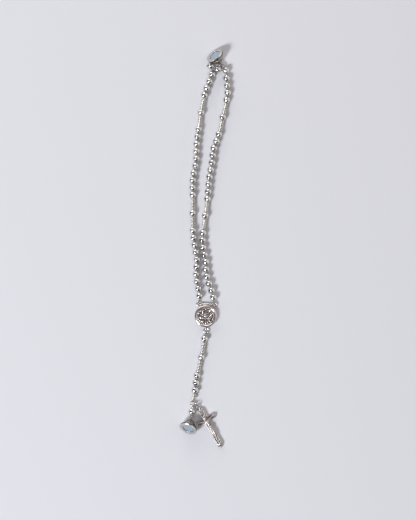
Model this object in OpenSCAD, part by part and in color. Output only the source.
// A rosary bracelet laid out straight: two strands of small polished beads that meet at a medal,
// a short drop with a crucifix, and one half of a magnetic clasp at each end.
// Millimetres. +Z is up, +Y points to the top of the doubled strand, and the origin is on the
// surface it lies on, under the middle of the whole piece.

/* [Beads] */
// Diameter of a round bead
bead_d = 2.92; // [2.8:0.02:2.94]
// Distance from one bead of a decade to the next
bead_pitch = 3.04; // [3.04:0.01:3.1]
// Distance from the end of a decade to the single bead beside it
decade_gap = 7.26; // [7.2:0.02:7.4]
// Diameter of a small spacer bead
spacer_d = 1.7; // [1.4:0.05:1.9]
// Thickness of a small spacer bead
spacer_t = 0.9; // [0.8:0.02:0.9]
// Hole through every bead
bore_d = 1; // [0.95:0.01:1.1]

/* [Thread] */
// Diameter of the thread that the beads are strung on
thread_d = 0.36; // [0.3:0.02:0.4]
// Radius of the eye at each end of the thread, to the middle of the thread
eye_r = 0.6; // [0.58:0.01:0.62]

/* [Medal] */
// Diameter of the medal
medal_d = 9.2; // [9.15:0.05:9.25]
// Diameter of the medal's round rim
rim_d = 1.1; // [1:0.05:1.2]
// Thickness of the medal at its rim
medal_t = 2.2; // [2.1:0.05:2.3]
// Thickness of the raised scrolls
scroll_d = 0.4; // [0.3:0.02:0.4]
// Thickness of the straight bar that joins the two upper loops
yoke_d = 0.9; // [0.85:0.05:0.95]

/* [Crucifix] */
// Length of the crucifix without its loop
cross_l = 19.2; // [18:0.1:19.4]
// Length of the crossbar
cross_w = 9.3; // [9:0.1:10]
// Width of the bars
bar_w = 1.95; // [1.8:0.05:2.1]
// Thickness of the bars
bar_t = 1.45; // [1.35:0.05:1.5]
// Distance from the top end down to the crossing
crossing = 6; // [5.8:0.1:6.2]

/* [Clasp] */
// Diameter of the clasp half at its rim
cup_d = 7.3; // [7.2:0.05:7.35]
// Length of the clasp half from its face to its neck
cup_l = 4.3; // [4.25:0.01:4.35]
// Diameter of the magnet in the face
magnet_d = 4.5; // [4.2:0.1:4.8]
// Thickness of the magnet
magnet_t = 1.3; // [1:0.05:1.5]
// Angle of the clasp halves as they lie, from flat
cup_lean = 32; // [31.8:0.1:32.2]

/* [Hidden] */
$fn = 48;
clear = 0.05;
silver = [0.82, 0.81, 0.79];
steel = [0.62, 0.61, 0.58];
magnet_blue = [0.62, 0.74, 0.84];

// Height of a bead's middle above the surface
lay_h = bead_d / 2;

// Routes are x and y, and where the thread lifts off the beads' own height, how far it rises.
// The thread's way round the doubled strand, from the medal's left loop to its right one
loop_route = [
    [-2.9, -22.2], [-2.5, -19.6], [-3.4, -14.2], [-3.9, -9.6], [-3.5, -4.6], [-4.4, 0.8],
    [-5.2, 7.4], [-5.3, 14.9], [-5.3, 22.4], [-5.2, 29.4], [-3.9, 36.4], [-3.7, 43.4],
    [-2.7, 50.4], [-1.8, 56.9], [-0.5, 63.4], [0.9, 67.7], [1.7, 69.7], [2.3, 71.6],
    [3.1, 73, 0.1], [3.9, 74, 0.4], [4.8, 74.4, 0.4], [5.9, 74.7, 0.4], [6.9, 75, 0.2],
    [7.5, 74.9, 0.2], [8.4, 74.2], [9.5, 73], [9.3, 72.5], [9, 71.4], [8.8, 70.8], [8.7, 69.4],
    [9, 67.8], [9.4, 66.2], [8.6, 60.9], [7.1, 54.4], [5.5, 47.4], [3.4, 41.4], [2.7, 35.4],
    [1.6, 29.4], [1, 22.4], [0, 14.4], [-1, 7.4], [-1.1, 1.4], [0.1, -5], [0.5, -10.9],
    [2.4, -16.9], [3.2, -19.8], [3.75, -22.45]];
// The thread's way down the drop, from the medal's lower ring to the ring of the crucifix
drop_route = [
    [0.2, -34.95], [-0.4, -37.1], [-1.1, -41.1], [-1.9, -45.6], [-3, -50.1], [-3.8, -54.1], [-4.3, -58.1],
    [-4.8, -61.1], [-5.2, -63.2]];

// Smooth curves through the routes
curve_steps = 8;
function curve_point(a, b, c, d, t) =
    0.5 * (2 * b + (c - a) * t + (2 * a - 5 * b + 4 * c - d) * t * t + (3 * b - a - 3 * c + d) * t * t * t);
function lifted(p) = [p.x, p.y, lay_h + (len(p) > 2 ? p.z : 0)];
function resting(p) = [p.x, p.y, max(p.z, lay_h)];
function smooth(route) =
    let (p = [for (q = route) lifted(q)], last = len(p) - 1)
    concat([for (i = [0 : last - 1], k = [0 : curve_steps - 1])
        let (before = p[max(i - 1, 0)], after = p[min(i + 2, last)])
        resting(curve_point(before, p[i], p[i + 1], after, k / curve_steps))], [p[last]]);
function step_after(path, i) = i < len(path) ? norm(path[i] - path[i - 1]) : 0;
function run_lengths(path) =
    [for (i = 0, run = 0; i < len(path); i = i + 1, run = run + step_after(path, i)) run];
function track(route) =
    let (path = smooth(route), run = run_lengths(path))
    [for (axis = [0 : 2]) [for (i = [0 : len(path) - 1]) [run[i], path[i][axis]]]];
function track_end(t) = t[0][len(t[0]) - 1][0];
function at(t, s) = [lookup(s, t[0]), lookup(s, t[1]), lookup(s, t[2])];
function along(t, s) =
    let (d = at(t, min(s + 0.3, track_end(t))) - at(t, max(s - 0.3, 0))) d / norm(d);

loop_track = track(loop_route);
drop_track = track(drop_route);

// Places along the strands, counted from the middle of the topmost decade, where the top ring
// hangs on the thread between two beads
top_point = 22;
top_middle = run_lengths(smooth(loop_route))[top_point * curve_steps];
half_top = 1.9;
function decade(first, count) = [for (i = [0 : count - 1]) first + i * bead_pitch];
function spacers(from, to, count) =
    [for (i = [0 : count - 1]) from + bead_d / 2 + (to - from - bead_d) * (i + 0.5) / count];
// Each strand is the slack beside its bead at the ring, then the four gaps beside its two
// single beads, from the top down
left = [0.3, decade_gap + 0.1, decade_gap - 0.2, decade_gap + 0.3, decade_gap];
right = [0.85, decade_gap + 0.1, decade_gap, decade_gap - 0.3, decade_gap];
function upper_divider(g) = half_top + g[0] + 4 * bead_pitch + g[1];
function lower_divider(g) = upper_divider(g) + g[2] + 9 * bead_pitch + g[3];
function decade_places(g) =
    concat([half_top], decade(half_top + g[0] + bead_pitch, 4),
           decade(upper_divider(g) + g[2], 10), decade(lower_divider(g) + g[4], 10));
function beside(divider, before, after) =
    concat(spacers(divider - before, divider, 4), spacers(divider, divider + after, 4));
function spacer_places(g) =
    concat(beside(upper_divider(g), g[1], g[2]), beside(lower_divider(g), g[3], g[4]));

// Places along the drop, counted from the medal's ring
drop_gap = 7.8;
drop_1 = 2.4;
drop_2 = drop_1 + drop_gap;
drop_3 = drop_2 + drop_gap;
drop_4 = drop_3 + bead_pitch;
drop_5 = drop_4 + bead_pitch;
tail_gap = bead_d + 2.3;
drop_spacer_places = concat(spacers(drop_1, drop_2, 4), spacers(drop_2, drop_3, 4),
                            spacers(drop_5, drop_5 + tail_gap, 2));

// Turns +Z to point along a direction
module point_along(d)
    rotate([0, acos(d.z / norm(d)), atan2(d.y, d.x)]) children();

module on_track(t, s)
    translate(at(t, s)) point_along(along(t, s)) children();

module bore()
    cylinder(d = bore_d, h = 2 * bead_d, center = true);

module round_bead()
    color(silver)
        difference() {
            sphere(d = bead_d);
            bore();
        }

module spacer_bead()
    color(silver)
        difference() {
            intersection() {
                sphere(d = spacer_d);
                cylinder(d = spacer_d, h = spacer_t, center = true);
            }
            bore();
        }

module beads_left()
    for (s = decade_places(left)) on_track(loop_track, top_middle - s) round_bead();

module beads_right()
    for (s = decade_places(right)) on_track(loop_track, top_middle + s) round_bead();

module spacers_left()
    for (s = spacer_places(left)) on_track(loop_track, top_middle - s) spacer_bead();

module spacers_right()
    for (s = spacer_places(right)) on_track(loop_track, top_middle + s) spacer_bead();

module spacers_drop()
    for (s = drop_spacer_places) on_track(drop_track, s) spacer_bead();

module divider_left_upper() on_track(loop_track, top_middle - upper_divider(left)) round_bead();
module divider_left_lower() on_track(loop_track, top_middle - lower_divider(left)) round_bead();
module divider_right_upper() on_track(loop_track, top_middle + upper_divider(right)) round_bead();
module divider_right_lower() on_track(loop_track, top_middle + lower_divider(right)) round_bead();
module drop_bead_1() on_track(drop_track, drop_1) round_bead();
module drop_bead_2() on_track(drop_track, drop_2) round_bead();
module drop_bead_3() on_track(drop_track, drop_3) round_bead();
module drop_bead_4() on_track(drop_track, drop_4) round_bead();
module drop_bead_5() on_track(drop_track, drop_5) round_bead();

// A thread is a tube swept along its points. Its end curls down into an eye, in the upright
// plane that holds its last heading.
thread_sides = 8;
thread_step = 0.8;
eye_turn = 295;
eye_steps = 8;
function plan_heading(d) = [d.x, d.y, 0] / norm([d.x, d.y]);
function eye_points(p, heading) =
    [for (i = [1 : eye_steps])
        let (a = eye_turn * i / eye_steps) p + heading * eye_r * sin(a) - [0, 0, eye_r * (1 - cos(a))]];
function reversed(list) = [for (i = [len(list) - 1 : -1 : 0]) list[i]];

module thread(t) {
    color(steel)
        tube(thread_points(t), thread_headings(t));
}

function thread_count(t) = round(track_end(t) / thread_step);
function thread_points(t) =
    let (end = track_end(t), count = thread_count(t))
    concat(reversed(eye_points(at(t, 0), -plan_heading(along(t, 0)))),
           [for (i = [0 : count]) at(t, end * i / count)],
           eye_points(at(t, end), plan_heading(along(t, end))));
function thread_headings(t) =
    let (end = track_end(t), count = thread_count(t))
    concat([for (i = [1 : eye_steps]) plan_heading(along(t, 0))],
           [for (i = [0 : count]) plan_heading(along(t, end * i / count))],
           [for (i = [1 : eye_steps]) plan_heading(along(t, end))]);

module tube(points, headings) {
    n = len(points);
    sides = thread_sides;
    rim_points = [for (i = [0 : n - 1], k = [0 : sides - 1])
        let (side = [headings[i].y, -headings[i].x, 0],
             ahead = points[min(i + 1, n - 1)] - points[max(i - 1, 0)],
             lift = cross(side, ahead) / norm(cross(side, ahead)),
             a = 360 * k / sides)
        points[i] + thread_d / 2 * (side * cos(a) + lift * sin(a))];
    walls = [for (i = [0 : n - 2], k = [0 : sides - 1])
        let (a = i * sides + k, b = i * sides + (k + 1) % sides)
        [a, b, b + sides, a + sides]];
    polyhedron(rim_points, concat([[for (k = [sides - 1 : -1 : 0]) k]], walls,
                                  [[for (k = [0 : sides - 1]) (n - 1) * sides + k]]));
}

module thread_loop() thread(loop_track);
module thread_drop() thread(drop_track);

// A ring of round wire: r is to the middle of the wire
module ring(r, wire_d)
    rotate_extrude() translate([r, 0]) circle(d = wire_d);

// Lays a ring so that its own X follows a heading, risen and rolled about it
module laid(place, turn, rise, roll)
    translate(place) rotate([0, -rise, turn]) rotate([roll, 0, 0]) children();

// Medal: a thick disc with a round rim, a sunk ground and a raised scroll ornament, and above it
// a straight bar with a loop at each end
medal_place = [0.08, -27.9, 0];
medal_turn = -2;
loop_r = 0.7;
loop_wire = 0.45;
loop_h = 0.85;
upper_loops = [[-3.22, 4.93], [3.64, 4.93]];
lower_loop_r = 0.65;
lower_loop_wire = 0.4;
lower_loop = [0.2, -medal_d / 2 - 0.65];
sunk = 0.35;
wall_in = 0.05;
foot_in = 0.3;
foot_h = 0.3;
inner_rim_d = 0.4;
inner_rim_in = 1.35;
// Each scroll is x and y of its middle, its radius, its first angle and how far it turns
scrolls = [
    [1.68, 0, 0.85, -140, 280],
    [0.92, 1.82, 0.62, -130, 290],
    [0.92, -1.82, 0.62, -160, 290]];
scroll_eye_d = 0.5;
boss_d = 1;
stem_bud_d = 0.6;
stem_buds = [-2.65, -0.95, 0.95, 2.65];
side_bud_d = 0.5;
side_bud = [2.02, 1.42];
yoke_place = [0.2, 4.94, 0.95];
yoke_half = 2.62;
// Lugs between the disc and the bar
lug_d = 0.6;
lug_l = 0.8;
lugs = [[-1.1, 4.1, 1.1], [0.2, 4.1, 1.1], [1.5, 4.1, 1.1]];

module scroll(s)
    translate([s[0], s[1], 0]) {
        rotate([0, 0, s[3]]) rotate_extrude(angle = s[4])
            translate([s[2], 0]) circle(d = scroll_d, $fn = 24);
        sphere(d = scroll_eye_d);
    }

module ornament() {
    sphere(d = boss_d);
    for (y = stem_buds) translate([0, y, 0]) sphere(d = stem_bud_d);
    for (x = [-side_bud.x, side_bud.x], y = [-side_bud.y, side_bud.y])
        translate([x, y, 0]) sphere(d = side_bud_d);
    for (s = scrolls) {
        scroll(s);
        mirror([1, 0, 0]) scroll(s);
    }
}

module medal()
    color(silver) translate(medal_place) rotate([0, 0, medal_turn]) {
        cylinder(d = medal_d - 2 * foot_in, h = medal_t / 2);
        translate([0, 0, foot_h]) cylinder(d = medal_d - 2 * wall_in, h = medal_t - rim_d / 2 - foot_h);
        translate([0, 0, foot_h]) cylinder(d = medal_d - rim_d, h = medal_t - sunk - foot_h);
        translate([0, 0, medal_t - rim_d / 2]) ring((medal_d - rim_d) / 2, rim_d);
        translate([0, 0, medal_t - sunk]) {
            ring(medal_d / 2 - inner_rim_in, inner_rim_d);
            ornament();
        }
        translate(yoke_place) rotate([0, 90, 0]) cylinder(d = yoke_d, h = 2 * yoke_half, center = true);
        for (place = lugs) translate(place) rotate([-90, 0, 0]) cylinder(d = lug_d, h = lug_l);
        for (place = upper_loops) translate([place.x, place.y, loop_h]) ring(loop_r, loop_wire);
        translate([lower_loop.x, lower_loop.y, loop_h]) rotate([0, 90, 0])
            ring(lower_loop_r, lower_loop_wire);
    }

// Jump rings
ring_wire = 0.45;
module medal_ring()
    color(silver) laid([0.2, -33.98, loop_h], 90, 0, 0) ring(1, ring_wire);

module drop_ring()
    color(silver) laid([-5.3, -64.1, 1.39], -109.2, 38.7, 0) ring(1.05, ring_wire);

module crucifix_ring()
    color(silver) laid([-3.84, -64.65, 1.23], -26.4, -25.9, 64.6) ring(1.05, 0.4);

// Crucifix: flat bars with budded ends, a raised figure, and a bare plaque above it
cross_place = [0.2, -70.9, 0];
cross_turn = 29.5;
bud_d = 2.3;
step_h = 0.2;
bail_r = 0.65;
bail_wire = 0.4;
bail_h = 0.78;
plaque = [1.7, 0.9, 0.35];
plaque_y = 2.6;
mound_d = 1.5;
mound_y = crossing - cross_l + 1.7;

module cross_outline(inset) {
    w = bar_w - 2 * inset;
    top = crossing - inset;
    foot = cross_l - crossing - inset;
    translate([-w / 2, -foot]) square([w, top + foot]);
    translate([inset - cross_w / 2, -w / 2]) square([cross_w - 2 * inset, w]);
    translate([0, crossing - bud_d / 2]) circle(d = bud_d - 2 * inset);
    translate([0, crossing - cross_l + bud_d / 2]) circle(d = bud_d - 2 * inset);
    for (side = [-1, 1])
        translate([side * (cross_w - bud_d) / 2, 0]) circle(d = bud_d - 2 * inset);
}

// A rounded form through a few places, each x, y, z and a diameter
module limb(places)
    hull() for (p = places) translate([p[0], p[1], p[2]]) sphere(d = p[3], $fn = 24);

module figure() {
    // Head, leaning to one side, trunk, and loincloth
    translate([-0.2, 0.6, 0.8]) sphere(d = 1.15, $fn = 32);
    limb([[-0.05, -0.3, 0.55, 0.9], [0, -0.75, 0.4, 1.55], [0, -2.3, 0.3, 1.1]]);
    limb([[0.1, -3.2, 0.4, 1.35], [0, -4.4, 0.45, 1.55]]);
    for (side = [-1, 1]) {
        // Arms, rising a little to the hands, and legs bent at the knee
        limb([[side * 0.7, -0.55, 0.3, 0.75], [side * 2.1, -0.2, 0.25, 0.62],
              [side * 3.7, 0.35, 0.15, 0.45]]);
        limb([[side * 0.35, -4.6, 0.4, 0.85], [side * 0.3 + 0.1, -6.7, 0.6, 0.7],
              [side * 0.12, -8.9, 0.2 + 0.1 * side, 0.5]]);
    }
}

module crucifix()
    color(silver) translate(cross_place) rotate([0, 0, cross_turn]) {
        linear_extrude(bar_t - step_h) cross_outline(0);
        linear_extrude(bar_t) cross_outline(0.3);
        translate([0, 0, bar_t]) figure();
        // Bare plaque, and a low mound under the feet
        translate([-plaque.x / 2, plaque_y, bar_t - 0.1]) cube(plaque);
        translate([0, mound_y, bar_t - mound_d / 6]) sphere(d = mound_d);
        translate([0, crossing + bail_r - 0.1, bail_h]) ring(bail_r, bail_wire);
    }

// Clasp halves: a cone with a lipped rim that holds a magnet, and a loop at its neck.
// The face is at the origin and looks along +Z.
lip_t = 0.55;
groove_t = 0.4;
groove_in = 0.32;
recess_t = 1.6;
magnet_sunk = 0.25;
neck_r = 0.8;
cup_loop_r = 0.7;
cup_loop_wire = 0.4;
cup_loop_sunk = 0.15;

module cup(loop_roll)
    color(silver) {
        difference() {
            rotate_extrude() polygon([
                [0, 0], [cup_d / 2, 0], [cup_d / 2, -lip_t], [cup_d / 2 - groove_in, -lip_t],
                [cup_d / 2 - groove_in, -lip_t - groove_t], [band_r, -lip_t - groove_t],
                [neck_r, -cup_l], [0, -cup_l]]);
            translate([0, 0, -recess_t]) cylinder(d = magnet_d + 4 * clear, h = recess_t + 1);
        }
        translate([0, 0, -cup_l - cup_loop_r + cup_loop_sunk]) rotate([0, 0, loop_roll]) rotate([90, 0, 0])
            ring(cup_loop_r, cup_loop_wire);
    }

module magnet()
    color(magnet_blue)
        translate([0, 0, -magnet_sunk - magnet_t]) cylinder(d = magnet_d, h = magnet_t);

// Height of the face's middle when the edge behind the groove rests on the surface
band_r = cup_d / 2 - 0.05;
rest_h = band_r * cos(cup_lean) + (lip_t + groove_t) * sin(cup_lean);

// Leans a clasp half on that edge: the face looks along a plan direction and up
module leaned(place, turn)
    translate([place.x, place.y, rest_h]) rotate([0, 90 - cup_lean, turn]) children();

clasp_place = [-7.26, -74.54];
clasp_turn = -113;
top_place = [3.7, 80.25];
top_turn = 130;

module clasp_cup() leaned(clasp_place, clasp_turn) cup(90);
module clasp_magnet() leaned(clasp_place, clasp_turn) magnet();
module top_cup() leaned(top_place, top_turn) cup(0);
module top_magnet() leaned(top_place, top_turn) magnet();

// A bead on a wire with an eye at each end, between the drop's ring and the lower clasp half
pin_wire = 0.36;
pin_eye_r = 0.55;
knot_d = 0.56;
knot_out = pin_eye_r + 0.22;
pin_upper = [-5.44, -64.93, 2.13];
pin_lower = [-5.85, -70.14, 0.79];
pin_dir = (pin_lower - pin_upper) / norm(pin_lower - pin_upper);

// A length of wire with a knot of itself below each eye
module eye_wire(from, to) {
    span = norm(to - from);
    translate(from) point_along(to - from) {
        translate([0, 0, knot_out]) cylinder(d = pin_wire, h = span - 2 * knot_out);
        for (z = [knot_out, span - knot_out]) translate([0, 0, z]) sphere(d = knot_d);
        rotate([-90, 0, 0]) ring(pin_eye_r, pin_wire);
        translate([0, 0, span]) rotate([90, 0, 0]) ring(pin_eye_r, pin_wire);
    }
}

module clasp_bead()
    translate((pin_upper + pin_lower) / 2) point_along(pin_dir) round_bead();

module clasp_pin()
    color(steel) eye_wire(pin_upper, pin_lower);

// Top: a ring round the thread, a link to the clasp half, and a bead on a short pin beside them
module top_ring()
    color(silver) laid([6.82, 74.86, 1.34], 88, -36.7, 99) ring(0.92, ring_wire);

module top_link()
    color(silver) laid([6.85, 76.15, 1.12], 42.3, 9.9, -14.7) ring(0.9, 0.4);

charm_bead = [2.13, 75.98, 1.5];
charm_eye = [6.04, 76.08, 0.86];
charm_dir = (charm_eye - charm_bead) / norm(charm_eye - charm_bead);
// Its wire ends in a ball just below the bead
head_d = 0.8;
head_out = bead_d / 2 + 0.15;

module top_bead()
    translate(charm_bead) point_along(charm_dir) round_bead();

module top_pin()
    color(steel) {
        translate(charm_bead) point_along(charm_dir) {
            translate([0, 0, -head_out]) {
                cylinder(d = pin_wire, h = norm(charm_eye - charm_bead) + head_out - pin_eye_r + clear);
                sphere(d = head_d);
            }
        }
        translate(charm_eye) point_along(charm_dir) rotate([90, 0, 0]) ring(pin_eye_r, pin_wire);
    }

beads_left();
beads_right();
spacers_left();
spacers_right();
spacers_drop();
divider_left_upper();
divider_left_lower();
divider_right_upper();
divider_right_lower();
drop_bead_1();
drop_bead_2();
drop_bead_3();
drop_bead_4();
drop_bead_5();
thread_loop();
thread_drop();
medal();
medal_ring();
drop_ring();
crucifix_ring();
crucifix();
clasp_bead();
clasp_pin();
clasp_cup();
clasp_magnet();
top_ring();
top_link();
top_bead();
top_pin();
top_cup();
top_magnet();
